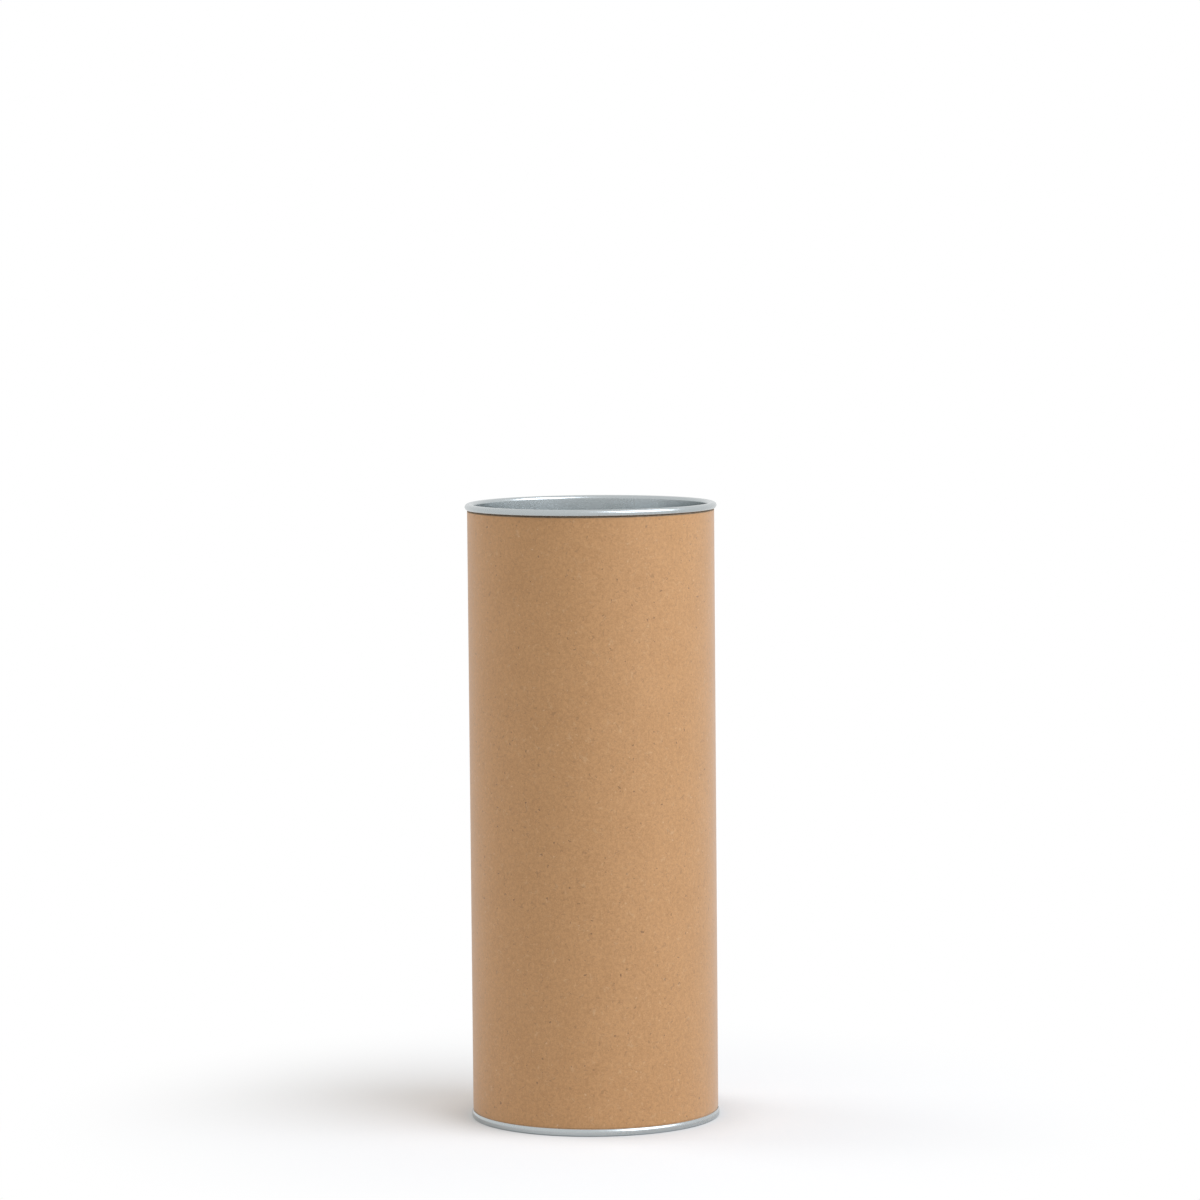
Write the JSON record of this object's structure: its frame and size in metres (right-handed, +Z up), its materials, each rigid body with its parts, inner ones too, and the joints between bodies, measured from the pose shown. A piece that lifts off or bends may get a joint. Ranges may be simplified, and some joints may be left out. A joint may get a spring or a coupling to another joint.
{
  "type": "cylindrical gift tube box",
  "caption": "Round kraft paper tube box with a rolled-on tinplate bottom end and a tinplate plug lid that has a rolled rim and a deep dish.",
  "frame": {"origin": "centre of the base plane, on the tube's axis", "axes": "+Z up along the tube's axis, -Y towards the side that the picture shows, +Y towards the wrap's lap seam"},
  "size_m": [0.0846, 0.0846, 0.2078],
  "materials": {
    "kraft_wrap": "matt, fibrous",
    "tube_board": "matt, cut edge",
    "kraft_liner": "matt",
    "tinplate": "bright, softly brushed"
  },
  "bodies": {
    "tube": {"outer_wrap": "kraft_wrap", "outer_board_ply": "tube_board", "middle_board_ply": "tube_board", "inner_board_ply": "tube_board", "liner": "kraft_liner", "bottom_end": "tinplate"},
    "lid": {"lid": "tinplate"}
  },
  "joints": [
    {"name": "lid_lift", "type": "slide", "parent": "tube", "child": "lid", "axis": [0, 0, 1], "range_m": [0, 0.12]}
  ]
}
